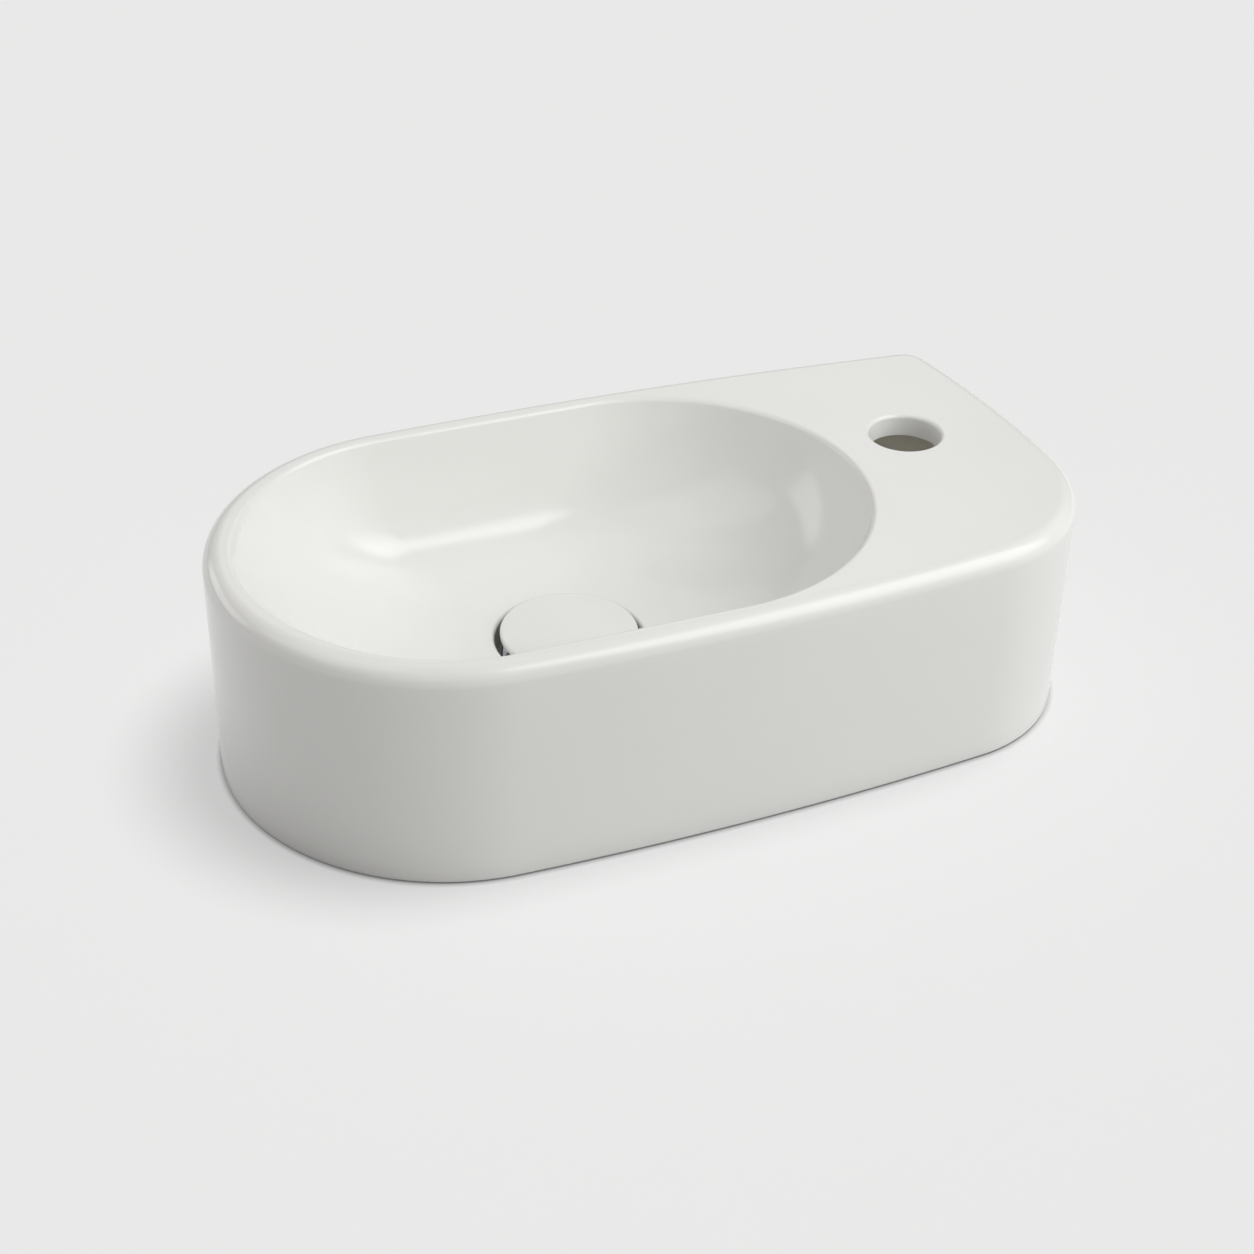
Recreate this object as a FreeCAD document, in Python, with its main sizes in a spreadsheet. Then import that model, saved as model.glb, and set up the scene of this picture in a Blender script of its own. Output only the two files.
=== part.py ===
import FreeCAD, Part
import math
import os
import Sketcher

# Countertop hand basin with a push-open waste.
# Frame: +X towards the tap deck, +Y to the back, +Z up, origin under the middle of the basin.

# Driving sizes in millimetres, angles in degrees
SIZES = {
    # Outside of the basin, measured at the rim
    "length": 408.0,
    "width": 220.0,
    "height": 112.0,
    "widest_x": -36.5,
    "back_bow": 2000.0,
    "front_bow": 1650.0,
    "end_bow": 532.0,
    "end_crown_y": -18.0,
    "back_corner": 15.0,
    "front_corner": 76.0,
    "draft": 1.0,
    "top_round": 8.5,
    "base_round": 1.5,
    # Hollow underside
    "wall": 11.0,
    "deck": 11.0,
    "inner_back_corner": 8.0,
    "inner_front_corner": 64.0,
    # Bowl
    "rim_land": 1.0,
    "lip_round": 3.0,
    "bowl_end_x": 107.5,
    "floor_height": 46.0,
    "seat_side_land": 3.0,
    "seat_end_land": 11.0,
    "side_lean": 11.0,
    "side_turn": 9.0,
    "left_lean": 68.0,
    "left_turn": 4.6,
    "right_lean": 22.0,
    "right_turn": 2.8,
    "rim_squareness": 0.015,
    "seat_squareness": 0.75,
    "rim_flatness": 0.015,
    "seat_flatness": 2.0,
    "shell": 10.0,
    # Waste seat and tap hole
    "waste_x": -35.5,
    "recess_gap": 3.0,
    "recess_depth": 13.0,
    "recess_round": 2.0,
    "hole_clearance": 2.05,
    "boss_wall": 10.0,
    "seat_thickness": 10.0,
    "tap_x": 144.5,
    "tap_y": 17.0,
    "tap_hole_radius": 17.5,
    "tap_lip_round": 2.0,
    "overcut": 1.0,
    # Waste body and what clamps it
    "gasket_setback": 0.5,
    "gasket_thickness": 1.5,
    "flange_radius": 32.0,
    "flange_thickness": 2.5,
    "flange_edge": 0.8,
    "throat_flare": 3.0,
    "throat_depth": 5.0,
    "thread_radius": 20.95,
    "thread_overrun": 1.0,
    "outlet_step": 0.95,
    "outlet_wall": 2.0,
    "tail_clearance": 3.0,
    "hub_wall": 3.0,
    "hub_height": 6.0,
    "hub_drop": 9.0,
    "arm_width": 4.0,
    "seal_radius": 33.0,
    "seal_thickness": 4.0,
    "seal_spigot": 3.0,
    "seal_tip": 0.65,
    "seal_clearance": 0.3,
    "washer_setback": 2.0,
    "washer_thickness": 1.5,
    "nut_corner_radius": 30.0,
    "nut_height": 8.0,
    "thread_clearance": 0.05,
    # Push-open cartridge
    "press_stroke": 6.0,
    "sleeve_wall": 1.2,
    "sleeve_bore": 5.3,
    "sleeve_depth": 21.0,
    "sleeve_rise": 6.0,
    "shoulder_width": 2.0,
    "shoulder_height": 2.0,
    "guide_thickness": 3.0,
    "slide_clearance": 0.1,
    "plug_head": 1.5,
    "plug_spigot": 1.5,
    "drain_radius": 1.5,
    "rod_radius": 3.5,
    "collar_height": 3.0,
    "tooth_height": 1.2,
    "tooth_width": 1.6,
    "latch_gap": 0.3,
    "rotor_core_radius": 3.6,
    "rotor_height": 5.0,
    "fin_clearance": 0.3,
    "ring_wire": 1.2,
    "ring_squeeze": 0.05,
    "spring_wire": 0.8,
    "spring_radius": 4.0,
    "spring_turns": 6.0,
    "spring_gap": 0.05,
    # Cap
    "cap_gap": 2.5,
    "cap_edge": 3.5,
    "cap_crown": 2.5,
    "cap_round": 1.2,
    "cap_socket_depth": 1.5,
    "glue_gap": 0.1,
    "carrier_setback": 4.5,
    "carrier_thickness": 3.0,
    "carrier_boss_wall": 3.0,
    "carrier_boss_height": 3.0,
    "screw_depth": 1.5,
    "seal_ring_setback": 0.5,
    "seal_ring_width": 3.5,
    "seal_ring_thickness": 1.2,
    "seal_ring_gap": 0.3,
}

BOWL_LEVELS = 10
ARM_COUNT = 4
TOOTH_COUNT = 4

doc = FreeCAD.newDocument("hand_basin")
sheet = doc.addObject("Spreadsheet::Sheet", "Size")
for row, (alias, number) in enumerate(SIZES.items(), start=1):
    sheet.set(f"A{row}", alias)
    sheet.set(f"B{row}", str(number))
    sheet.setAlias(f"B{row}", alias)
doc.recompute()

# Sizes that follow from the driving ones, as expressions on the sheet
RIM = "(Size.top_round + Size.rim_land + Size.lip_round)"
RECESS_RADIUS = "(Size.flange_radius + Size.recess_gap)"
WASTE_HOLE_RADIUS = "(Size.thread_radius + Size.hole_clearance)"
OUTLET_RADIUS = "(Size.thread_radius - Size.outlet_step)"
TAIL_BORE = f"({OUTLET_RADIUS} - Size.outlet_wall)"
SLEEVE_RADIUS = "(Size.sleeve_bore + Size.sleeve_wall)"
CAP_RADIUS = f"({RECESS_RADIUS} - Size.cap_gap)"
CARRIER_RADIUS = f"({CAP_RADIUS} - Size.carrier_setback)"

# Heights of the waste's stack
RECESS_FLOOR = "(Size.floor_height - Size.recess_depth)"
BOSS_BOTTOM = f"({RECESS_FLOOR} - Size.seat_thickness)"
FLANGE_BOTTOM = f"({RECESS_FLOOR} + Size.gasket_thickness)"
FLANGE_TOP = f"({FLANGE_BOTTOM} + Size.flange_thickness)"
HUB_TOP = f"({FLANGE_TOP} - Size.hub_drop)"
SEAL_BOTTOM = f"({BOSS_BOTTOM} - Size.seal_thickness)"
WASHER_BOTTOM = f"({SEAL_BOTTOM} - Size.washer_thickness)"
NUT_BOTTOM = f"({WASHER_BOTTOM} - Size.nut_height)"
SLEEVE_BOTTOM = f"({HUB_TOP} - Size.sleeve_depth)"
GUIDE_BOTTOM = f"({HUB_TOP} + Size.sleeve_rise - Size.guide_thickness)"
COLLAR_TOP = f"({GUIDE_BOTTOM} - Size.slide_clearance)"
TOOTH_TIP = f"({COLLAR_TOP} - Size.collar_height - Size.tooth_height)"
ROTOR_BOTTOM = f"({TOOTH_TIP} - Size.latch_gap - Size.rotor_height)"
SEAL_RING_BOTTOM = f"({FLANGE_TOP} + Size.press_stroke + Size.seal_ring_gap)"
CARRIER_BOTTOM = f"({SEAL_RING_BOTTOM} + Size.seal_ring_thickness)"
CAP_BOTTOM = f"({CARRIER_BOTTOM} + Size.carrier_thickness + Size.glue_gap - Size.cap_socket_depth)"


def new_body(label, x=None, z=None):
    body = doc.addObject("PartDesign::Body", label)
    if x:
        body.setExpression("Placement.Base.x", x)
    if z:
        body.setExpression("Placement.Base.z", z)
    return body


def sketch_on(body, name, role, offset=None):
    sketch = body.newObject("Sketcher::SketchObject", name)
    plane = next(feature for feature in body.Origin.OriginFeatures if feature.Role == role)
    sketch.AttachmentSupport = [(plane, "")]
    sketch.MapMode = "FlatFace"
    if offset:
        sketch.setExpression("AttachmentOffset.Base.z", offset)
    return sketch


def bind(sketch, expression, *constraint):
    """Adds a dimension to the sketch and drives it from the sheet."""
    index = sketch.addConstraint(Sketcher.Constraint(*constraint))
    sketch.setExpression(f"Constraints[{index}]", expression)


def circle(sketch, radius):
    """A circle about the sketch's origin."""
    index = sketch.addGeometry(Part.Circle(FreeCAD.Vector(0, 0, 0), FreeCAD.Vector(0, 0, 1), 1.0))
    sketch.addConstraint(Sketcher.Constraint("Coincident", index, 3, -1, 1))
    bind(sketch, radius, "Radius", index, 1.0)


def polygon(sketch, corners, dome=None):
    """A closed outline of straight lines through corners given as pairs of expressions.

    The side that starts at corner number dome, if given, is an arc about a centre on the upright axis.
    """
    count = len(corners)
    start_radius = 20.0
    start_bulge = 0.2
    turn = 2 * math.pi / count
    spots = []
    for step in range(count):
        across = 2 * start_radius - start_radius * math.cos(step * turn)
        along = 2 * start_radius - start_radius * math.sin(step * turn)
        spots.append(FreeCAD.Vector(across, along, 0))
    first = sketch.GeometryCount
    for step in range(count):
        here = spots[step]
        there = spots[(step + 1) % count]
        if step == dome:
            bulge = FreeCAD.Vector(there.y - here.y, here.x - there.x, 0) * start_bulge
            sketch.addGeometry(Part.Arc(here, (here + there) * 0.5 + bulge, there))
            sketch.addConstraint(Sketcher.Constraint("PointOnObject", first + step, 3, -2))
        else:
            sketch.addGeometry(Part.LineSegment(here, there))
    for step, (across, along) in enumerate(corners):
        line = first + step
        following = first + (step + 1) % count
        sketch.addConstraint(Sketcher.Constraint("Coincident", line, 2, following, 1))
        if across == "0":
            sketch.addConstraint(Sketcher.Constraint("PointOnObject", line, 1, -2))
        else:
            bind(sketch, across, "DistanceX", -1, 1, line, 1, spots[step].x)
        if along == "0":
            sketch.addConstraint(Sketcher.Constraint("PointOnObject", line, 1, -1))
        else:
            bind(sketch, along, "DistanceY", -1, 1, line, 1, spots[step].y)


def turned(body, name, corners):
    """A solid of revolution about the body's upright axis, from (radius, height) corners."""
    sketch = sketch_on(body, f"{name}_profile", "XZ_Plane")
    polygon(sketch, corners)
    return revolve(body, name, sketch)


def revolve(body, name, sketch):
    feature = body.newObject("PartDesign::Revolution", name)
    feature.Profile = sketch
    feature.ReferenceAxis = (sketch, ["V_Axis"])
    feature.Angle = 360
    return feature


def ring(label, inner, outer, height, z):
    """A flat ring about the waste's axis, standing on height z."""
    body = new_body(label, "Size.waste_x", z)
    turned(body, f"{label}_ring", [(inner, "0"), (outer, "0"), (outer, height), (inner, height)])
    return body


def pad(body, name, sketch, length, reverse=False):
    feature = body.newObject("PartDesign::Pad", name)
    feature.Profile = sketch
    feature.Reversed = reverse
    feature.setExpression("Length", length)
    return feature


def pocket(body, name, sketch, length=None, reverse=False):
    """A cut of the given length, or right through."""
    feature = body.newObject("PartDesign::Pocket", name)
    feature.Profile = sketch
    feature.Reversed = reverse
    if length:
        feature.setExpression("Length", length)
    else:
        feature.Type = "ThroughAll"
    return feature


def round_edges(body, name, radius, wanted):
    """Rounds the edges of the body's last feature for which wanted(edge) holds."""
    doc.recompute()
    base = body.Tip
    edges = [f"Edge{number}" for number, edge in enumerate(base.Shape.Edges, start=1) if wanted(edge)]
    feature = body.newObject("PartDesign::Fillet", name)
    feature.Base = (base, edges)
    feature.setExpression("Radius", radius)
    return feature


def lies_at(edge, height):
    box = edge.BoundBox
    return abs(box.ZMin - height) < 0.01 and abs(box.ZMax - height) < 0.01


def reach_from(edge, x, y):
    """Farthest distance of an edge from an upright axis."""
    return max(math.hypot(point.x - x, point.y - y) for point in edge.discretize(9))


def polar(body, name, feature, count):
    pattern = body.newObject("PartDesign::PolarPattern", name)
    pattern.Originals = [feature]
    axis = next(item for item in body.Origin.OriginFeatures if item.Role == "Z_Axis")
    pattern.Axis = (axis, [""])
    pattern.Angle = 360
    pattern.Occurrences = count
    body.Tip = pattern
    return pattern


def corner_centre(first, first_reach, second, second_reach):
    """The point at two given distances from two centres, on the tap deck's side."""
    line = second - first
    gap = line.Length
    along = (gap ** 2 + first_reach ** 2 - second_reach ** 2) / (2 * gap)
    across = math.sqrt(max(first_reach ** 2 - along ** 2, 0.0))
    unit = line.normalize()
    spots = [first + unit * along + FreeCAD.Vector(-unit.y, unit.x, 0) * side for side in (across, -across)]
    return max(spots, key=lambda spot: spot.x)


def plan_outline(sketch, inset, back_corner, front_corner):
    """Six tangent arcs round the basin: bowed back, end and front, two corners and the round left end.

    inset names the wall by which the outline lies inside the rim's outline, or is None.
    """
    step_in = SIZES[inset] if inset else 0.0
    less = f" - Size.{inset}" if inset else ""
    half_length = SIZES["length"] / 2 - step_in
    bows = {name: SIZES[name] - step_in for name in ("back_bow", "end_bow", "front_bow")}
    back = FreeCAD.Vector(SIZES["widest_x"], SIZES["width"] / 2 - SIZES["back_bow"], 0)
    end = FreeCAD.Vector(SIZES["length"] / 2 - SIZES["end_bow"], SIZES["end_crown_y"], 0)
    front = FreeCAD.Vector(SIZES["widest_x"], SIZES["front_bow"] - SIZES["width"] / 2, 0)
    back_round = SIZES[back_corner]
    front_round = SIZES[front_corner]
    back_spot = corner_centre(back, bows["back_bow"] - back_round, end, bows["end_bow"] - back_round)
    front_spot = corner_centre(front, bows["front_bow"] - front_round, end, bows["end_bow"] - front_round)
    # The left arc touches both bows and the left end: worked out for their mean bow, then solved.
    mean_bow = (bows["back_bow"] + bows["front_bow"]) / 2
    run = half_length + SIZES["widest_x"]
    fall = mean_bow - SIZES["width"] / 2 + step_in
    left_radius = (mean_bow ** 2 - run ** 2 - fall ** 2) / (2 * (mean_bow - run))
    left_spot = FreeCAD.Vector(left_radius - half_length, 0, 0)
    centres = [back, left_spot, front, front_spot, end, back_spot]
    radii = [bows["back_bow"], left_radius, bows["front_bow"], front_round, bows["end_bow"], back_round]
    count = len(centres)
    # Anticlockwise from the back: each arc runs from its joint with the arc before it.
    joints = []
    for this in range(count):
        before = centres[this - 1]
        larger, smaller = (before, centres[this])
        if radii[this - 1] < radii[this]:
            larger, smaller = (centres[this], before)
        direction = (smaller - larger).normalize()
        joints.append(math.atan2(direction.y, direction.x))
    for this in range(count):
        start = joints[this]
        stop = joints[(this + 1) % count]
        if stop < start:
            stop += 2 * math.pi
        whole = Part.Circle(centres[this], FreeCAD.Vector(0, 0, 1), radii[this])
        sketch.addGeometry(Part.ArcOfCircle(whole, start, stop))
    for this in range(count):
        sketch.addConstraint(Sketcher.Constraint("Tangent", this, 2, (this + 1) % count, 1))
    bind(sketch, f"Size.back_bow{less}", "Radius", 0, radii[0])
    bind(sketch, f"Size.front_bow{less}", "Radius", 2, radii[2])
    bind(sketch, f"Size.{front_corner}", "Radius", 3, radii[3])
    bind(sketch, f"Size.end_bow{less}", "Radius", 4, radii[4])
    bind(sketch, f"Size.{back_corner}", "Radius", 5, radii[5])
    bind(sketch, "Size.widest_x", "DistanceX", -1, 1, 0, 3, back.x)
    bind(sketch, "Size.width / 2 - Size.back_bow", "DistanceY", -1, 1, 0, 3, back.y)
    bind(sketch, "Size.widest_x", "DistanceX", -1, 1, 2, 3, front.x)
    bind(sketch, "Size.front_bow - Size.width / 2", "DistanceY", -1, 1, 2, 3, front.y)
    bind(sketch, "Size.length / 2 - Size.end_bow", "DistanceX", -1, 1, 4, 3, end.x)
    bind(sketch, "Size.end_crown_y", "DistanceY", -1, 1, 4, 3, end.y)
    # A construction point holds the tip of the left end.
    tip = sketch.addGeometry(Part.Point(FreeCAD.Vector(-half_length, 0, 0)), True)
    sketch.addConstraint(Sketcher.Constraint("PointOnObject", tip, 1, 1))
    sketch.addConstraint(Sketcher.Constraint("Horizontal", tip, 1, 1, 3))
    bind(sketch, f"-(Size.length / 2{less})", "DistanceX", -1, 1, tip, 1, -half_length)


def bowl_outline(sketch, left_tip, right_tip, half_width, corner, end_bow):
    """A half circle at the right, straight sides, and a bowed left end with rounded corners."""
    radius = 60.0
    small = 40.0
    bow = 100.0
    reach = 100.0
    up = FreeCAD.Vector(0, 0, 1)
    bow_x = bow - reach
    corner_x = bow_x - math.sqrt((bow - small) ** 2 - (radius - small) ** 2)
    lean = math.asin((radius - small) / (bow - small))
    quarter = math.pi / 2
    right = FreeCAD.Vector(reach - radius, 0, 0)
    upper = FreeCAD.Vector(corner_x, radius - small, 0)
    lower = FreeCAD.Vector(corner_x, small - radius, 0)
    side = FreeCAD.Vector(0, radius, 0)
    half = 2 * quarter
    end_arc = Part.Circle(FreeCAD.Vector(bow_x, 0, 0), up, bow)
    sketch.addGeometry(Part.ArcOfCircle(end_arc, half - lean, half + lean))
    sketch.addGeometry(Part.ArcOfCircle(Part.Circle(lower, up, small), half + lean, 3 * quarter))
    sketch.addGeometry(Part.LineSegment(FreeCAD.Vector(corner_x, -radius, 0), right - side))
    sketch.addGeometry(Part.ArcOfCircle(Part.Circle(right, up, radius), -quarter, quarter))
    sketch.addGeometry(Part.LineSegment(right + side, FreeCAD.Vector(corner_x, radius, 0)))
    sketch.addGeometry(Part.ArcOfCircle(Part.Circle(upper, up, small), quarter, half - lean))
    count = sketch.GeometryCount
    for this in range(count):
        sketch.addConstraint(Sketcher.Constraint("Tangent", this, 2, (this + 1) % count, 1))
    sketch.addConstraint(Sketcher.Constraint("PointOnObject", 0, 3, -1))
    sketch.addConstraint(Sketcher.Constraint("PointOnObject", 3, 3, -1))
    sketch.addConstraint(Sketcher.Constraint("Horizontal", 2))
    sketch.addConstraint(Sketcher.Constraint("Horizontal", 4))
    sketch.addConstraint(Sketcher.Constraint("Equal", 1, 5))
    bind(sketch, end_bow, "Radius", 0, bow)
    bind(sketch, corner, "Radius", 1, small)
    bind(sketch, half_width, "Radius", 3, radius)
    bind(sketch, f"{left_tip} + {end_bow}", "DistanceX", -1, 1, 0, 3, bow_x)
    bind(sketch, f"{right_tip} - {half_width}", "DistanceX", -1, 1, 3, 3, right.x)


def bowl_section(body, name, drop, grow):
    """A level cut through the bowl, at a share of its depth from 0 at the rim to 1 at the waste seat.

    At each side the wall leans in evenly and near the bottom turns level into the floor; grow adds the shell.
    """
    rim_left = f"({RIM} - Size.length / 2)"
    rim_half = f"(Size.width / 2 - {RIM})"
    seat_half_width = f"({RECESS_RADIUS} + Size.recess_round + Size.seat_side_land)"
    seat_half_length = f"({RECESS_RADIUS} + Size.recess_round + Size.seat_end_land)"
    seat_left = f"(Size.waste_x - {seat_half_length})"
    seat_right = f"(Size.waste_x + {seat_half_length})"

    def inset(side, reach):
        lean = f"Size.{side}_lean"
        turn_in = f"(1 - sqrt(1 - ({drop}) ^ Size.{side}_turn))"
        return f"({lean} * ({drop}) + ({reach} - {lean}) * {turn_in})"

    def shape_share(kind):
        return f"(Size.rim_{kind} + (Size.seat_{kind} - Size.rim_{kind}) * ({drop}))"

    half_width = f"({rim_half} - {inset('side', f'({rim_half} - {seat_half_width})')} + {grow})"
    left_tip = f"({rim_left} + {inset('left', f'({seat_left} - {rim_left})')} - {grow})"
    right_tip = f"(Size.bowl_end_x - {inset('right', f'(Size.bowl_end_x - {seat_right})')} + {grow})"
    corner = f"{half_width} * (1 - {shape_share('squareness')})"
    end_bow = f"{half_width} * (1 + {shape_share('flatness')})"
    depth = f"(Size.height - Size.floor_height + {grow})"
    sketch = sketch_on(body, name, "XY_Plane", f"Size.height - {depth} * ({drop})")
    bowl_outline(sketch, left_tip, right_tip, half_width, corner, end_bow)
    return sketch


def bowl_form(name, drops, grow):
    """The bowl as a solid, lofted through its levels and grown by a thickness."""
    body = new_body(name)
    sections = []
    for level, drop in enumerate(drops):
        sections.append(bowl_section(body, f"{name}_level_{level}", drop, grow))
    feature = body.newObject("PartDesign::AdditiveLoft", f"{name}_loft")
    feature.Profile = sections[0]
    feature.Sections = sections[1:]
    return body


def cylinder(name, radius, x, y, bottom, height):
    form = doc.addObject("Part::Cylinder", name)
    form.setExpression("Radius", radius)
    form.setExpression("Height", height)
    form.setExpression("Placement.Base.x", x)
    form.setExpression("Placement.Base.y", y)
    form.setExpression("Placement.Base.z", bottom)
    return form


def make_skirt():
    """Drafted block with a rounded rim and foot, hollowed from below up to the deck."""
    body = new_body("skirt")
    outline = sketch_on(body, "outline", "XY_Plane", "Size.height")
    plan_outline(outline, None, "back_corner", "front_corner")
    block = pad(body, "block", outline, "Size.height", reverse=True)
    block.setExpression("TaperAngle", "-Size.draft")
    round_edges(body, "rim_round", "Size.top_round", lambda edge: lies_at(edge, SIZES["height"]))
    round_edges(body, "foot_round", "Size.base_round", lambda edge: lies_at(edge, 0.0))
    underside = sketch_on(body, "underside", "XY_Plane")
    plan_outline(underside, "wall", "inner_back_corner", "inner_front_corner")
    pocket(body, "hollow", underside, "Size.height - Size.deck", reverse=True)
    return body


def make_basin():
    """The china: skirt, bowl shell and waste boss in one casting, cut by the bowl and the two holes."""
    drops = [math.sin(level * math.pi / 2 / BOWL_LEVELS) for level in range(BOWL_LEVELS + 1)]
    levels = [f"{drop:.6f}" for drop in drops]
    # The shell starts half way through the deck's thickness.
    in_deck = "Size.deck / 2 / (Size.height - Size.floor_height + Size.shell)"
    boss = cylinder("boss", f"{RECESS_RADIUS} + Size.boss_wall", "Size.waste_x", "0", BOSS_BOTTOM,
                    f"Size.floor_height - Size.shell / 2 - {BOSS_BOTTOM}")
    casting = doc.addObject("Part::MultiFuse", "casting")
    casting.Shapes = [make_skirt(), bowl_form("bowl_shell", [in_deck] + levels[1:], "Size.shell"), boss]
    recess = cylinder("recess", RECESS_RADIUS, "Size.waste_x", "0", RECESS_FLOOR,
                      "Size.recess_depth + Size.overcut")
    waste_hole = cylinder("waste_hole", WASTE_HOLE_RADIUS, "Size.waste_x", "0",
                          f"{BOSS_BOTTOM} - Size.overcut", "Size.seat_thickness + 2 * Size.overcut")
    tap_hole = cylinder("tap_hole", "Size.tap_hole_radius", "Size.tap_x", "Size.tap_y",
                        "Size.height - Size.deck - Size.overcut", "Size.deck + 2 * Size.overcut")
    voids = doc.addObject("Part::MultiFuse", "voids")
    voids.Shapes = [bowl_form("bowl", levels, "0"), recess, waste_hole, tap_hole]
    cut = doc.addObject("Part::Cut", "cut_casting")
    cut.Base = casting
    cut.Tool = voids
    doc.recompute()
    lips = []
    for number, edge in enumerate(cut.Shape.Edges, start=1):
        lip = lip_round(edge)
        if lip:
            lips.append((number, lip, lip))
    basin = doc.addObject("Part::Fillet", "basin_body")
    basin.Base = cut
    basin.Edges = lips
    return basin


def lip_round(edge):
    """Radius that rounds an edge of the cut casting: the lips of the tap hole, bowl and waste recess."""
    near = 0.01
    bowl_left = SIZES["top_round"] + SIZES["rim_land"] + SIZES["lip_round"] - SIZES["length"] / 2
    if lies_at(edge, SIZES["height"]):
        if reach_from(edge, SIZES["tap_x"], SIZES["tap_y"]) < SIZES["tap_hole_radius"] + near:
            return SIZES["tap_lip_round"]
        if edge.BoundBox.XMin > bowl_left - near and edge.BoundBox.XMax < SIZES["bowl_end_x"] + near:
            return SIZES["lip_round"]
    if lies_at(edge, SIZES["floor_height"]):
        if reach_from(edge, SIZES["waste_x"], 0) < SIZES["flange_radius"] + SIZES["recess_gap"] + near:
            return SIZES["recess_round"]
    return None


def make_waste_body():
    """Flange, throat, threaded tail and outlet spigot, with a bridge of arms for the cartridge's hub."""
    body = new_body("waste_body", "Size.waste_x", "Size.tail_clearance")
    top = f"({FLANGE_TOP} - Size.tail_clearance)"
    under = f"({FLANGE_BOTTOM} - Size.tail_clearance)"
    thread_end = f"({NUT_BOTTOM} - Size.thread_overrun - Size.tail_clearance)"
    turned(body, "flange_and_tail", [
        (TAIL_BORE, "0"),
        (OUTLET_RADIUS, "0"),
        (OUTLET_RADIUS, thread_end),
        ("Size.thread_radius", thread_end),
        ("Size.thread_radius", under),
        ("Size.flange_radius", under),
        ("Size.flange_radius", f"{top} - Size.flange_edge"),
        ("Size.flange_radius - Size.flange_edge", top),
        (f"{TAIL_BORE} + Size.throat_flare", top),
        (TAIL_BORE, f"{top} - Size.throat_depth"),
    ])
    bridge_bottom = f"{HUB_TOP} - Size.hub_height - Size.tail_clearance"
    wall_middle = f"({TAIL_BORE} + Size.thread_radius) / 2"
    half_arm = "Size.arm_width / 2"
    arm_plan = sketch_on(body, "arm_plan", "XY_Plane", bridge_bottom)
    polygon(arm_plan, [
        ("0", f"-{half_arm}"),
        (wall_middle, f"-{half_arm}"),
        (wall_middle, half_arm),
        ("0", half_arm),
    ])
    arm = pad(body, "arm", arm_plan, "Size.hub_height")
    doc.recompute()
    polar(body, "arms", arm, ARM_COUNT)
    hub_plan = sketch_on(body, "hub_plan", "XY_Plane", bridge_bottom)
    circle(hub_plan, f"{SLEEVE_RADIUS} + Size.hub_wall")
    pad(body, "hub", hub_plan, "Size.hub_height")
    bore_plan = sketch_on(body, "bore_plan", "XY_Plane", f"{HUB_TOP} - Size.tail_clearance")
    circle(bore_plan, f"{SLEEVE_RADIUS} + Size.thread_clearance")
    pocket(body, "hub_bore", bore_plan)
    return body


def make_underside_seal():
    """Tapered rubber ring: a flat flange with a cone that centres in the waste hole."""
    body = new_body("underside_seal", "Size.waste_x", SEAL_BOTTOM)
    inner = "Size.thread_radius + Size.seal_clearance"
    cone_base = f"{WASTE_HOLE_RADIUS} - Size.seal_clearance"
    tip = "Size.seal_thickness + Size.seal_spigot"
    turned(body, "seal_form", [
        (inner, "0"),
        ("Size.seal_radius", "0"),
        ("Size.seal_radius", "Size.seal_thickness"),
        (cone_base, "Size.seal_thickness"),
        (f"{inner} + Size.seal_tip", tip),
        (inner, tip),
    ])
    return body


def make_back_nut():
    """Hexagon nut on the tail's thread."""
    hexagon = doc.addObject("Part::Prism", "nut_hexagon")
    hexagon.Polygon = 6
    hexagon.setExpression("Circumradius", "Size.nut_corner_radius")
    hexagon.setExpression("Height", "Size.nut_height")
    thread = doc.addObject("Part::Cylinder", "nut_thread")
    thread.setExpression("Radius", "Size.thread_radius + Size.thread_clearance")
    thread.setExpression("Height", "Size.nut_height")
    nut = doc.addObject("Part::Cut", "back_nut")
    nut.Base = hexagon
    nut.Tool = thread
    nut.setExpression("Placement.Base.x", "Size.waste_x")
    nut.setExpression("Placement.Base.z", NUT_BOTTOM)
    return nut


def make_cartridge_sleeve():
    """Housing of the latch: its shoulder seats on the hub, its top guides the plunger."""
    body = new_body("cartridge_sleeve", "Size.waste_x", SLEEVE_BOTTOM)
    shoulder_top = "Size.sleeve_depth + Size.shoulder_height"
    top = "Size.sleeve_depth + Size.sleeve_rise"
    guide = "Size.rod_radius + Size.slide_clearance"
    turned(body, "sleeve_form", [
        ("Size.sleeve_bore", "0"),
        (SLEEVE_RADIUS, "0"),
        (SLEEVE_RADIUS, "Size.sleeve_depth"),
        (f"{SLEEVE_RADIUS} + Size.shoulder_width", "Size.sleeve_depth"),
        (f"{SLEEVE_RADIUS} + Size.shoulder_width", shoulder_top),
        (SLEEVE_RADIUS, shoulder_top),
        (SLEEVE_RADIUS, top),
        (guide, top),
        (guide, f"{top} - Size.guide_thickness"),
        ("Size.sleeve_bore", f"{top} - Size.guide_thickness"),
    ])
    return body


def make_cartridge_plug():
    """Plug in the foot of the sleeve, with a drain hole."""
    body = new_body("cartridge_plug", "Size.waste_x", f"{SLEEVE_BOTTOM} - Size.plug_head")
    spigot = "Size.sleeve_bore - Size.thread_clearance"
    top = "Size.plug_head + Size.plug_spigot"
    turned(body, "plug_form", [
        ("Size.drain_radius", "0"),
        (SLEEVE_RADIUS, "0"),
        (SLEEVE_RADIUS, "Size.plug_head"),
        (spigot, "Size.plug_head"),
        (spigot, top),
        ("Size.drain_radius", top),
    ])
    return body


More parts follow.
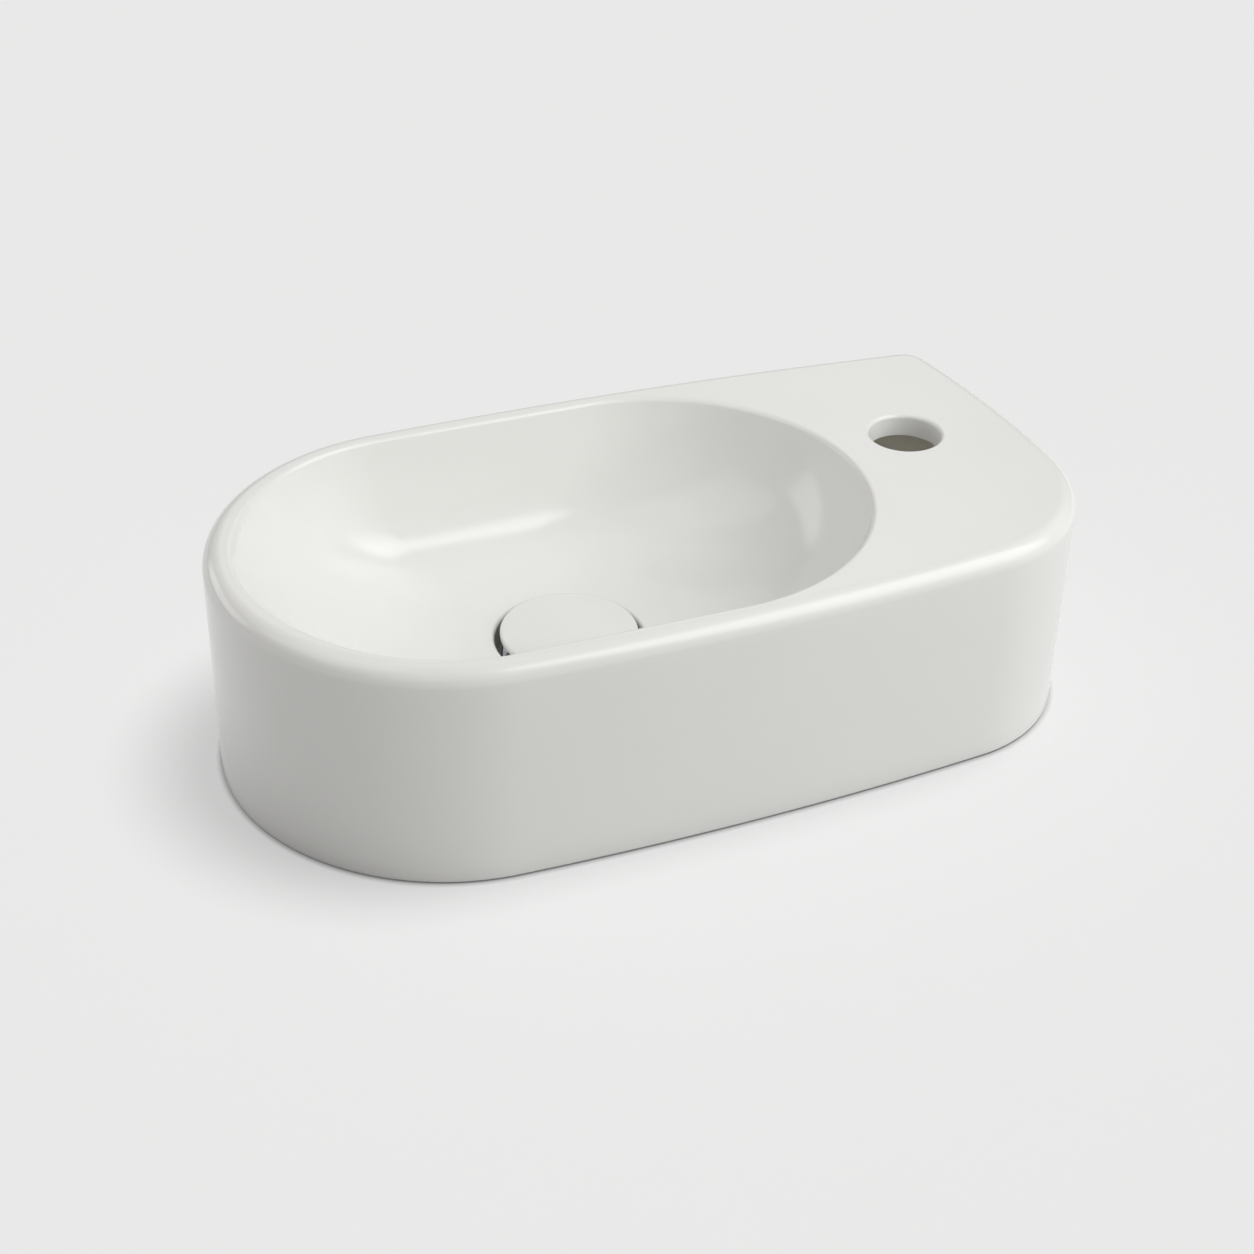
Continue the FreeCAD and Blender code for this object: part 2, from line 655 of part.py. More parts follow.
def saw_teeth(body, name, inner, outer, low, high, tip):
    """Slanted teeth round the axis, from height low to high, pointing up or down to tip."""
    sketch = sketch_on(body, f"{name}_profile", "YZ_Plane", inner)
    half = "Size.tooth_width / 2"
    polygon(sketch, [(f"-{half}", low), (half, low), (half, tip), (f"-{half}", high)])
    tooth = pad(body, f"{name}_tooth", sketch, f"{outer} - ({inner})")
    doc.recompute()
    return polar(body, name, tooth, TOOTH_COUNT)


def make_plunger():
    """Rod with a collar that stops under the sleeve's guide, and saw teeth that push the rotor."""
    body = new_body("plunger", "Size.waste_x", TOOTH_TIP)
    collar = "Size.sleeve_bore - Size.slide_clearance"
    collar_top = "Size.tooth_height + Size.collar_height"
    groove_middle = f"({collar_top} + Size.slide_clearance + Size.guide_thickness / 2)"
    half_groove = "(Size.ring_wire / 2 + Size.ring_squeeze)"
    groove_radius = "Size.rod_radius - Size.ring_wire - Size.ring_squeeze"
    rod_top = f"{CARRIER_BOTTOM} + Size.screw_depth - Size.slide_clearance - {TOOTH_TIP}"
    turned(body, "rod_form", [
        ("0", "Size.tooth_height"),
        (collar, "Size.tooth_height"),
        (collar, collar_top),
        ("Size.rod_radius", collar_top),
        ("Size.rod_radius", f"{groove_middle} - {half_groove}"),
        (groove_radius, f"{groove_middle} - {half_groove}"),
        (groove_radius, f"{groove_middle} + {half_groove}"),
        ("Size.rod_radius", f"{groove_middle} + {half_groove}"),
        ("Size.rod_radius", rod_top),
        ("0", rod_top),
    ])
    saw_teeth(body, "plunger_teeth", "Size.rotor_core_radius", collar,
              "Size.tooth_height + Size.collar_height / 2", "Size.tooth_height / 2", "0")
    return body


def make_plunger_o_ring():
    ring_form = doc.addObject("Part::Torus", "plunger_o_ring")
    ring_form.setExpression("Radius1", "Size.rod_radius - Size.ring_wire / 2")
    ring_form.setExpression("Radius2", "Size.ring_wire / 2")
    ring_form.setExpression("Placement.Base.x", "Size.waste_x")
    ring_form.setExpression("Placement.Base.z", f"{GUIDE_BOTTOM} + Size.guide_thickness / 2")
    return ring_form


def make_ratchet_rotor():
    """Rotor of the latch: a core on the spring, with slanted fins that the plunger's teeth push."""
    body = new_body("ratchet_rotor", "Size.waste_x", ROTOR_BOTTOM)
    fin_low = "Size.rotor_height - Size.tooth_height"
    turned(body, "rotor_core", [
        ("0", "0"),
        ("Size.rotor_core_radius", "0"),
        ("Size.rotor_core_radius", fin_low),
        ("0", fin_low),
    ])
    saw_teeth(body, "rotor_fins", "Size.rotor_core_radius / 2", "Size.sleeve_bore - Size.fin_clearance",
              "Size.tooth_height", fin_low, "Size.rotor_height")
    return body


def biarc(start, start_way, stop, stop_way):
    """Two arcs that join two points with given directions."""
    chord = stop - start
    ways = start_way + stop_way
    spread = 2 * (1 - start_way.dot(stop_way))
    lean = chord.dot(ways)
    arm = (math.sqrt(lean ** 2 + spread * chord.dot(chord)) - lean) / spread
    middle = (start + stop + (start_way - stop_way) * arm) * 0.5
    return [half_arc(start, start_way, middle, 1), half_arc(stop, stop_way, middle, -1)]


def half_arc(spot, way, middle, sense):
    """The arc that leaves spot along way and ends at middle; sense -1 runs it from middle to spot."""
    chord = middle - spot
    leave = way * sense
    along = FreeCAD.Vector(chord).normalize()
    sideways = leave - along * leave.dot(along)
    half_angle = math.asin(min(sideways.Length, 1.0))
    sag = chord.Length / 2 * math.tan(half_angle / 2)
    top = spot + chord * 0.5 + sideways.normalize() * sag
    ends = (spot, middle) if sense == 1 else (middle, spot)
    return Part.Arc(ends[0], top, ends[1]).toShape()


def make_return_spring(plug, rotor):
    """Coil spring that stands on the plug and carries the rotor, wound as one wire."""
    doc.recompute()
    read = {alias: float(getattr(sheet, alias)) for alias in SIZES}
    feature = doc.addObject("Part::Feature", "return_spring")
    plug_top = plug.Shape.BoundBox.ZMax
    rotor_bottom = rotor.Shape.BoundBox.ZMin
    radius = read["spring_radius"]
    wire = read["spring_wire"]
    rise = rotor_bottom - plug_top - 2 * read["spring_gap"] - wire
    turns = read["spring_turns"]
    quarters = int(round(4 * turns))
    climb = rise / (2 * math.pi * turns)

    def spot(angle):
        return FreeCAD.Vector(radius * math.cos(angle), radius * math.sin(angle), wire / 2 + climb * angle)

    def way(angle):
        return FreeCAD.Vector(-radius * math.sin(angle), radius * math.cos(angle), climb).normalize()

    edges = []
    for quarter in range(quarters):
        start = quarter * math.pi / 2
        stop = start + math.pi / 2
        edges += biarc(spot(start), way(start), spot(stop), way(stop))
    path = Part.Wire(edges)
    section = Part.Wire([Part.Circle(spot(0), way(0), wire / 2).toShape()])
    feature.Shape = path.makePipeShell([section], True, False)
    feature.Placement = FreeCAD.Placement(
        FreeCAD.Vector(read["waste_x"], 0, plug_top + read["spring_gap"]), FreeCAD.Rotation())
    steps = 24
    spots = [spot(number * 2 * math.pi / steps) for number in range(int(turns * steps) + 1)]
    gaps = [spots[one].distanceToPoint(spots[other])
            for one in range(len(spots)) for other in range(one + steps // 2, len(spots))]
    print(f"return spring: least gap between turns {min(gaps) - wire:.2f} mm")
    return feature


def make_cap_carrier():
    """Plated disc glued under the cap, with a boss that screws onto the plunger."""
    body = new_body("cap_carrier", "Size.waste_x", f"{CARRIER_BOTTOM} - Size.carrier_boss_height")
    disc_bottom = "Size.carrier_boss_height"
    disc_top = "Size.carrier_boss_height + Size.carrier_thickness"
    bore = "Size.rod_radius + Size.thread_clearance"
    boss = "Size.rod_radius + Size.carrier_boss_wall"
    bore_top = "Size.carrier_boss_height + Size.screw_depth"
    turned(body, "carrier_form", [
        (bore, "0"),
        (boss, "0"),
        (boss, disc_bottom),
        (CARRIER_RADIUS, disc_bottom),
        (CARRIER_RADIUS, disc_top),
        ("0", disc_top),
        ("0", bore_top),
        (bore, bore_top),
    ])
    return body


def make_waste_cap():
    """Domed china cap with a shallow socket for its carrier."""
    body = new_body("waste_cap", "Size.waste_x", CAP_BOTTOM)
    sketch = sketch_on(body, "cap_profile", "XZ_Plane")
    socket = f"{CARRIER_RADIUS} + Size.glue_gap"
    polygon(sketch, [
        (socket, "0"),
        (CAP_RADIUS, "0"),
        (CAP_RADIUS, "Size.cap_edge"),
        ("0", "Size.cap_edge + Size.cap_crown"),
        ("0", "Size.cap_socket_depth"),
        (socket, "Size.cap_socket_depth"),
    ], dome=2)
    revolve(body, "cap_dome", sketch)
    near = 0.01
    rim_reach = SIZES["flange_radius"] + SIZES["recess_gap"] - SIZES["cap_gap"] - near

    def is_rim(edge):
        box = edge.BoundBox
        return box.XMax - box.XMin > 2 * rim_reach and box.YMax - box.YMin > 2 * rim_reach

    round_edges(body, "cap_rim", "Size.cap_round", is_rim)
    return body


def check_and_write(nodes):
    """Stops on any failed object or bad shape, then writes one file for each sub-part."""
    for item in doc.Objects:
        if "Invalid" in item.State or "Error" in item.State:
            raise RuntimeError(f"{item.Name} failed: {item.State}")
    for node in nodes:
        shape = node.Shape
        if shape.isNull() or not shape.isValid() or shape.Volume <= 0:
            raise RuntimeError(f"{node.Label} has no valid solid")
    os.makedirs("parts", exist_ok=True)
    for node in nodes:
        node.Shape.exportStep(f"parts/{node.Label}.step")
        print(f"{node.Label}: {len(node.Shape.Solids)} solid, {node.Shape.Volume / 1000:.2f} cm3")


thread_way = "Size.thread_radius + Size.seal_clearance"
seal_ring_outer = f"({CARRIER_RADIUS} - Size.seal_ring_setback)"
cartridge_plug = make_cartridge_plug()
ratchet_rotor = make_ratchet_rotor()
nodes = [
    make_basin(),
    make_waste_body(),
    ring("flange_gasket", thread_way, "Size.flange_radius - Size.gasket_setback", "Size.gasket_thickness",
         RECESS_FLOOR),
    make_underside_seal(),
    ring("slip_washer", thread_way, "Size.seal_radius - Size.washer_setback", "Size.washer_thickness",
         WASHER_BOTTOM),
    make_back_nut(),
    make_cartridge_sleeve(),
    cartridge_plug,
    make_return_spring(cartridge_plug, ratchet_rotor),
    ratchet_rotor,
    make_plunger(),
    make_plunger_o_ring(),
    make_cap_carrier(),
    ring("cap_seal_ring", f"{seal_ring_outer} - Size.seal_ring_width", seal_ring_outer,
         "Size.seal_ring_thickness", SEAL_RING_BOTTOM),
    make_waste_cap(),
]
doc.recompute()
check_and_write(nodes)
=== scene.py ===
import math
import bmesh
import bpy
import numpy
from mathutils import Matrix, Vector


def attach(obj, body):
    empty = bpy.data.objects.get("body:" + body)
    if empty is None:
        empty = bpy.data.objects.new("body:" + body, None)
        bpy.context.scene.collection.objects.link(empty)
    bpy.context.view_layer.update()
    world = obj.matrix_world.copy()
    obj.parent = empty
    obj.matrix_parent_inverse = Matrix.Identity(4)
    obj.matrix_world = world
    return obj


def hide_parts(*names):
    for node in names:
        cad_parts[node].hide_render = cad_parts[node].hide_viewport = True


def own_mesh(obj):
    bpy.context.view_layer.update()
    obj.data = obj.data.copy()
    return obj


# Countertop hand basin with a push-open waste. Sizes are in millimetres, in the part's own frame:
# +X to the tap deck, +Y to the back, +Z up, with the origin under the middle of the foot.
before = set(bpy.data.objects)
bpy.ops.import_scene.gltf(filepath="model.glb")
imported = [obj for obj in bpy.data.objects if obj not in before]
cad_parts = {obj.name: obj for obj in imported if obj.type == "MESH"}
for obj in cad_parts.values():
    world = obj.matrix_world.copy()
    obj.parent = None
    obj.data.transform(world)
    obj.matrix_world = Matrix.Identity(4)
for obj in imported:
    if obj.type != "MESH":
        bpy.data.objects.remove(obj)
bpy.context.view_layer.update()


# Basin body: a bowl, rim, tap deck and skirt slip-cast in vitreous china as one hollow piece, open below.
# It is sprayed with white glaze and fired once, so every outer edge is softly rounded by mould and glaze.
LENGTH = 408.0
WIDTH = 220.0
HEIGHT = 112.0
WIDEST_X = -36.5
BACK_BOW = 2000.0
FRONT_BOW = 1650.0
END_BOW = 532.0
END_CROWN_Y = -18.0
BACK_CORNER = 15.0
FRONT_CORNER = 76.0
DRAFT = math.radians(1.0)
TOP_ROUND = 8.5
BASE_ROUND = 1.5
WALL = 11.0
DECK = 11.0
INNER_BACK_CORNER = 8.0
INNER_FRONT_CORNER = 64.0

RIM = 12.5
LIP_ROUND = 3.0
BOWL_END_X = 107.5
FLOOR_HEIGHT = 46.0
SEAT_HALF_WIDTH = 40.0
SEAT_HALF_LENGTH = 48.0
SIDE_LEAN, SIDE_TURN = 11.0, 9.0
LEFT_LEAN, LEFT_TURN = 68.0, 4.6
RIGHT_LEAN, RIGHT_TURN = 22.0, 2.8
RIM_SQUARENESS, SEAT_SQUARENESS = 0.015, 0.75
RIM_FLATNESS, SEAT_FLATNESS = 0.015, 2.0
SHELL = 10.0

WASTE_X = -35.5
RECESS_RADIUS = 35.0
RECESS_FLOOR = 33.0
RECESS_ROUND = 2.0
WASTE_HOLE_RADIUS = 23.0
BOSS_RADIUS = 45.0
BOSS_BOTTOM = 23.0
TAP_X, TAP_Y = 144.5, 17.0
TAP_HOLE_RADIUS = 17.5
TAP_LIP_ROUND = 2.0

# A narrow flat band beside each rounded edge keeps the broad flats optically flat.
FLAT_BAND = 0.05

# How many steps the mesh takes up or round each part of the form, and a millimetre in Blender's metres.
FOOT_STEPS = 6
SKIRT_STEPS = 12
ROUND_STEPS = 14
HOLE_LIP_STEPS = 8
BOWL_LEVELS = 64
MILLIMETRE = 0.001


def corner_centre(first, first_reach, second, second_reach):
    """The point at two given distances from two centres, on the tap deck's side."""
    line = second - first
    along = (line.length ** 2 + first_reach ** 2 - second_reach ** 2) / (2 * line.length)
    across = math.sqrt(first_reach ** 2 - along ** 2)
    unit = line.normalized()
    sideways = Vector((-unit.y, unit.x))
    spots = [first + unit * along + sideways * side for side in (across, -across)]
    return max(spots, key=lambda spot: spot.x)


def plan_arcs(inset, back_corner, front_corner):
    """The plan's six tangent arcs, anticlockwise from the back: centre, radius, two angles and steps."""
    back = Vector((WIDEST_X, WIDTH / 2 - BACK_BOW))
    front = Vector((WIDEST_X, FRONT_BOW - WIDTH / 2))
    end = Vector((LENGTH / 2 - END_BOW, END_CROWN_Y))
    back_round = corner_centre(back, BACK_BOW - inset - back_corner, end, END_BOW - inset - back_corner)
    front_round = corner_centre(front, FRONT_BOW - inset - front_corner, end, END_BOW - inset - front_corner)
    # The left arc touches both bows and the left tip: a larger one would push out through the back bow.
    low, high, close_enough = 0.0, WIDTH, 1e-9
    while high - low > close_enough:
        radius = (low + high) / 2
        rise = (BACK_BOW - FRONT_BOW) * (WIDTH / 2 - radius) / (BACK_BOW + FRONT_BOW - WIDTH)
        left = Vector((radius - LENGTH / 2, rise))
        if (left - back).length + radius > BACK_BOW:
            high = radius
        else:
            low = radius
    arcs = [
        (back, BACK_BOW - inset, 72),
        (left, radius - inset, 128),
        (front, FRONT_BOW - inset, 64),
        (front_round, front_corner, 56),
        (end, END_BOW - inset, 44),
        (back_round, back_corner, 28),
    ]
    joints = []
    for number, (centre, size, steps) in enumerate(arcs):
        before, before_size, before_steps = arcs[number - 1]
        way = centre - before if before_size > size else before - centre
        joints.append(math.atan2(way.y, way.x))
    chain = []
    for number, (centre, size, steps) in enumerate(arcs):
        start = joints[number]
        stop = joints[(number + 1) % len(arcs)]
        if stop < start:
            stop += 2 * math.pi
        chain.append((centre, size, start, stop, steps))
    return chain


def plan_ring(arcs, offset, height):
    """Points round the plan, moved out by offset."""
    ring = []
    for centre, radius, start, stop, steps in arcs:
        for step in range(steps):
            angle = start + (stop - start) * step / steps
            reach = radius + offset
            x = centre.x + reach * math.cos(angle)
            y = centre.y + reach * math.sin(angle)
            ring.append(Vector((x, y, height)))
    return ring


def bowl_ring(drop, grow):
    """Points round a level cut of the bowl, drop 0 at the rim and 1 at the seat; grow adds the shell."""
    def inset(lean, turn, reach):
        return lean * drop + (reach - lean) * (1 - math.sqrt(max(0.0, 1 - drop ** turn)))

    rim_left = RIM - LENGTH / 2
    rim_half = WIDTH / 2 - RIM
    half = rim_half - inset(SIDE_LEAN, SIDE_TURN, rim_half - SEAT_HALF_WIDTH) + grow
    left = rim_left + inset(LEFT_LEAN, LEFT_TURN, WASTE_X - SEAT_HALF_LENGTH - rim_left) - grow
    right = BOWL_END_X - inset(RIGHT_LEAN, RIGHT_TURN, BOWL_END_X - WASTE_X - SEAT_HALF_LENGTH) + grow
    corner = half * (1 - RIM_SQUARENESS - (SEAT_SQUARENESS - RIM_SQUARENESS) * drop)
    end_bow = half * (1 + RIM_FLATNESS + (SEAT_FLATNESS - RIM_FLATNESS) * drop)
    bow_x = left + end_bow
    corner_x = bow_x - math.sqrt((end_bow - corner) ** 2 - (half - corner) ** 2)
    lean = math.asin((half - corner) / (end_bow - corner))
    right_x = right - half
    height = HEIGHT - (HEIGHT - FLOOR_HEIGHT + grow) * drop
    quarter = math.pi / 2
    ring = []

    def arc(x, y, radius, start, stop, steps):
        for step in range(steps):
            angle = start + (stop - start) * step / steps
            ring.append(Vector((x + radius * math.cos(angle), y + radius * math.sin(angle), height)))

    def side(start_x, stop_x, y, steps):
        for step in range(steps):
            ring.append(Vector((start_x + (stop_x - start_x) * step / steps, y, height)))

    end_steps, side_steps, left_steps = 112, 24, 40
    arc(right_x, 0, half, -quarter, quarter, end_steps)
    side(right_x, corner_x, half, side_steps)
    arc(corner_x, half - corner, corner, quarter, 2 * quarter - lean, left_steps)
    arc(bow_x, 0, end_bow, 2 * quarter - lean, 2 * quarter + lean, left_steps)
    arc(corner_x, corner - half, corner, 2 * quarter + lean, 3 * quarter, left_steps)
    side(corner_x, right_x, -half, side_steps)
    return ring


def round_ring(x, y, radius, height, steps=128):
    """Points on a level circle."""
    turns = [2 * math.pi * step / steps for step in range(steps)]
    return [Vector((x + radius * math.cos(turn), y + radius * math.sin(turn), height)) for turn in turns]


def hole_lip(x, y, radius, height, lip_round):
    """Rings of a hole's rounded lip, from the flat round it down into the hole."""
    rings = [round_ring(x, y, radius + lip_round + FLAT_BAND, height)]
    for step in range(HOLE_LIP_STEPS + 1):
        angle = math.pi / 2 * step / HOLE_LIP_STEPS
        reach = radius + lip_round * (1 - math.sin(angle))
        rings.append(round_ring(x, y, reach, height - lip_round * (1 - math.cos(angle))))
    return rings


def skin(shell, rings, material_index=0):
    """Covers a row of rings, each with as many points, with a band of quads between neighbours."""
    rows = [[shell.verts.new(spot * MILLIMETRE) for spot in ring] for ring in rings]
    for row, following in zip(rows, rows[1:]):
        for number in range(len(row)):
            near = (number + 1) % len(row)
            face = shell.faces.new((row[number], row[near], following[near], following[number]))
            face.material_index = material_index


def fill_flat(shell, low, high, up, material_index=0):
    """Closes the open loops that lie between two heights with a flat face."""
    loops = []
    for edge in shell.edges:
        heights = [vert.co.z / MILLIMETRE for vert in edge.verts]
        if len(edge.link_faces) == 1 and min(heights) > low and max(heights) < high:
            loops.append(edge)
    made = bmesh.ops.triangle_fill(shell, edges=loops, use_beauty=True, normal=(0, 0, up))
    for item in made["geom"]:
        if isinstance(item, bmesh.types.BMFace):
            item.material_index = material_index


def smooth_object(shell, name, sharp_angle=math.radians(40)):
    """Turns a built shell into an object with soft shading, creased only where it really has an edge."""
    bmesh.ops.recalc_face_normals(shell, faces=shell.faces)
    mesh = bpy.data.meshes.new(name)
    shell.to_mesh(mesh)
    shell.free()
    for face in mesh.polygons:
        face.use_smooth = True
    mesh.set_sharp_from_angle(angle=sharp_angle)
    piece = bpy.data.objects.new(name, mesh)
    bpy.context.scene.collection.objects.link(piece)
    return piece


china = bmesh.new()
GLAZED, BARE = 0, 1
outline = plan_arcs(0.0, BACK_CORNER, FRONT_CORNER)

# Skirt: foot round, drafted wall, rim round and the edge of the flat rim.
base_middle = -(BASE_ROUND + (HEIGHT - BASE_ROUND) * math.sin(DRAFT)) / math.cos(DRAFT)
top_middle = -TOP_ROUND * (1 + math.sin(DRAFT)) / math.cos(DRAFT)
skirt = []
for step in range(FOOT_STEPS + 1):
    angle = -math.pi / 2 + (math.pi / 2 - DRAFT) * step / FOOT_STEPS
    offset = base_middle + BASE_ROUND * math.cos(angle)
    skirt.append(plan_ring(outline, offset, BASE_ROUND * (1 + math.sin(angle))))
for step in range(1, SKIRT_STEPS):
    height = BASE_ROUND + (HEIGHT - TOP_ROUND - BASE_ROUND) * step / SKIRT_STEPS
    skirt.append(plan_ring(outline, -(HEIGHT - height) * math.tan(DRAFT), height))
for step in range(ROUND_STEPS + 1):
    angle = -DRAFT + (math.pi / 2 + DRAFT) * step / ROUND_STEPS
    offset = top_middle + TOP_ROUND * math.cos(angle)
    skirt.append(plan_ring(outline, offset, HEIGHT - TOP_ROUND * (1 - math.sin(angle))))
skirt.append(plan_ring(outline, top_middle - FLAT_BAND, HEIGHT))
skin(china, skirt)

# Bowl: the lip is rolled over from the rim, as steep as the wall just below it, and the wall starts under
# the lip and runs level into the floor.
JUST_BELOW_RIM = 0.01
WALL_START = 1.2 * LIP_ROUND
rim_line = bowl_ring(0.0, 0.0)
below_rim = bowl_ring(JUST_BELOW_RIM, 0.0)
lip = [[] for step in range(ROUND_STEPS + 2)]
for number, spot in enumerate(rim_line):
    along = rim_line[(number + 1) % len(rim_line)] - rim_line[number - 1]
    facing = along.cross(below_rim[number] - spot).normalized()
    if facing.z < 0:
        facing = -facing
    lean = math.asin(facing.z)
    outward = -Vector((facing.x, facing.y, 0)).normalized()
    set_back = LIP_ROUND * (1 - math.sin(lean)) / math.cos(lean)
    middle = spot + outward * set_back - Vector((0, 0, LIP_ROUND))
    lip[0].append(spot + outward * (set_back + FLAT_BAND))
    for step in range(ROUND_STEPS + 1):
        angle = (math.pi / 2 - lean) * step / ROUND_STEPS
        way = Vector((0, 0, math.cos(angle))) - outward * math.sin(angle)
        lip[step + 1].append(middle + way * LIP_ROUND)
first_turn = math.asin(WALL_START / (HEIGHT - FLOOR_HEIGHT))
for level in range(BOWL_LEVELS + 1):
    turn = first_turn + (math.pi / 2 - first_turn) * level / BOWL_LEVELS
    lip.append(bowl_ring(math.sin(turn), 0.0))
skin(china, lip)

# Waste recess with its rounded lip, and the hole and boss that the waste clamps to.
recess = hole_lip(WASTE_X, 0, RECESS_RADIUS, FLOOR_HEIGHT, RECESS_ROUND)
recess.append(round_ring(WASTE_X, 0, RECESS_RADIUS, RECESS_FLOOR))
recess.append(round_ring(WASTE_X, 0, WASTE_HOLE_RADIUS, RECESS_FLOOR))
skin(china, recess)
SHELL_BOTTOM = FLOOR_HEIGHT - SHELL
skin(china, [
    round_ring(WASTE_X, 0, WASTE_HOLE_RADIUS, RECESS_FLOOR),
    round_ring(WASTE_X, 0, WASTE_HOLE_RADIUS, BOSS_BOTTOM),
    round_ring(WASTE_X, 0, BOSS_RADIUS, BOSS_BOTTOM),
    round_ring(WASTE_X, 0, BOSS_RADIUS, SHELL_BOTTOM),
], BARE)

# Tap hole with its rounded lip.
DECK_BOTTOM = HEIGHT - DECK
tap_hole = hole_lip(TAP_X, TAP_Y, TAP_HOLE_RADIUS, HEIGHT, TAP_LIP_ROUND)
tap_hole.append(round_ring(TAP_X, TAP_Y, TAP_HOLE_RADIUS, DECK_BOTTOM))
skin(china, tap_hole)

# Underside, taken round the waste's axis: the skirt's inner wall up to the shell of the bowl or the deck,
# then the shell down to its flat bottom.
DIRECTIONS = 384
SHELL_LEVELS = 120
SHELL_ROWS = 49
WALL_SHARES = (0.0, 0.5, 1.0)
ways = numpy.linspace(0, 2 * math.pi, DIRECTIONS, endpoint=False)


def reach_of(ring):
    """How far a ring lies from the waste's axis in each direction."""
    angles = numpy.array([math.atan2(spot.y, spot.x - WASTE_X) % (2 * math.pi) for spot in ring])
    reaches = numpy.array([math.hypot(spot.x - WASTE_X, spot.y) for spot in ring])
    order = numpy.argsort(angles)
    return numpy.interp(ways, angles[order], reaches[order], period=2 * math.pi)


hollow_reach = reach_of(plan_ring(plan_arcs(WALL, INNER_BACK_CORNER, INNER_FRONT_CORNER), 0.0, 0.0))
shell_depth = HEIGHT - FLOOR_HEIGHT + SHELL
deck_turn = math.asin(DECK / shell_depth)
shell_turns = numpy.linspace(deck_turn, math.pi / 2, SHELL_LEVELS)
shell_reach = numpy.array([reach_of(bowl_ring(math.sin(turn), SHELL)) for turn in shell_turns])
wall_rows = [[] for share in WALL_SHARES]
shell_rows = [[] for row in range(SHELL_ROWS)]
for number, way in enumerate(ways):
    unit = Vector((math.cos(way), math.sin(way), 0))
    axis = Vector((WASTE_X, 0, 0))
    column = shell_reach[:, number]
    meeting = deck_turn
    if column[0] > hollow_reach[number]:
        meeting = float(numpy.interp(-hollow_reach[number], -column, shell_turns))
    top = HEIGHT - shell_depth * math.sin(meeting)
    for row, share in zip(wall_rows, WALL_SHARES):
        row.append(axis + unit * hollow_reach[number] + Vector((0, 0, top * share)))
    for step, row in enumerate(shell_rows):
        turn = meeting + (math.pi / 2 - meeting) * step / (SHELL_ROWS - 1)
        reach = float(numpy.interp(turn, shell_turns, column))
        row.append(axis + unit * reach + Vector((0, 0, HEIGHT - shell_depth * math.sin(turn))))
skin(china, wall_rows, BARE)
skin(china, shell_rows, BARE)

# Rings that meet share their points, and a flat face closes the open loops near each level: the deck and rim,
# the bowl's floor, the foot, the shell's bottom and the underside of the deck.
MERGE_REACH = 0.002
NEAR = 0.02
bmesh.ops.remove_doubles(china, verts=china.verts, dist=MERGE_REACH * MILLIMETRE)
fill_flat(china, HEIGHT - NEAR, HEIGHT + NEAR, 1, GLAZED)
fill_flat(china, FLOOR_HEIGHT - NEAR, FLOOR_HEIGHT + NEAR, 1, GLAZED)
fill_flat(china, -NEAR, NEAR, -1, BARE)
fill_flat(china, SHELL_BOTTOM - NEAR, SHELL_BOTTOM + NEAR, -1, BARE)
fill_flat(china, SHELL_BOTTOM + NEAR, DECK_BOTTOM + NEAR, -1, BARE)
basin = smooth_object(china, "basin_china")


def linear(colour):
    """An sRGB hex colour as the linear colour that shaders take."""
    shares = [int(colour[place:place + 2], 16) / 255 for place in (1, 3, 5)]
    light = [share / 12.92 if share <= 0.04045 else ((share + 0.055) / 1.055) ** 2.4 for share in shares]
    return (*light, 1.0)


def add_node(tree, kind, settings, links=None):
    """Adds a node with its inputs and options from settings, and its links as input: (node, output)."""
    node = tree.nodes.new(kind)
    inputs = {socket.identifier: socket for socket in node.inputs}
    for name, value in settings.items():
        if name in inputs:
            inputs[name].default_value = value
        else:
            setattr(node, name, value)
    for name, (source, output) in (links or {}).items():
        outputs = {socket.identifier: socket for socket in source.outputs}
        tree.links.new(outputs[output], inputs[name])
    return node


def new_material(name):
    """An empty node material and its tree."""
    material = bpy.data.materials.new(name)
    material.use_nodes = True
    material.node_tree.nodes.clear()
    return material, material.node_tree


# Glazed vitreous china: a white tin-opaque glaze, a fired glass over a dense white body. It gives clear but
# slightly soft reflections, a faint drift of tone where the spray lay thicker, and a long shallow ripple.
def glazed_china(name):
    """White sanitaryware glaze."""
    tone_size, ripple_size, haze_size = 0.060, 0.022, 0.030
    material, tree = new_material(name)
    place = add_node(tree, "ShaderNodeTexCoord", {})
    drift = add_node(tree, "ShaderNodeTexNoise", {"Scale": 1 / tone_size, "Detail": 3.0, "Roughness": 0.5},
                     {"Vector": (place, "Object")})
    tone = add_node(tree, "ShaderNodeMix", {
        "data_type": "RGBA", "A_Color": linear("#F4F5F2"), "B_Color": linear("#F1F1EE")},
        {"Factor_Float": (drift, "Fac")})
    haze = add_node(tree, "ShaderNodeTexNoise", {"Scale": 1 / haze_size, "Detail": 2.0},
                    {"Vector": (place, "Object")})
    gloss = add_node(tree, "ShaderNodeMapRange", {"To Min": 0.09, "To Max": 0.13}, {"Value": (haze, "Fac")})
    ripple = add_node(tree, "ShaderNodeTexNoise", {"Scale": 1 / ripple_size, "Detail": 1.0},
                      {"Vector": (place, "Object")})
    relief = add_node(tree, "ShaderNodeBump", {"Strength": 0.25, "Distance": 0.00006},
                      {"Height": (ripple, "Fac")})
    glaze = add_node(tree, "ShaderNodeBsdfPrincipled", {"IOR": 1.5}, {
        "Base Color": (tone, "Result_Color"), "Roughness": (gloss, "Result"), "Normal": (relief, "Normal")})
    add_node(tree, "ShaderNodeOutputMaterial", {}, {"Surface": (glaze, "BSDF")})
    return material


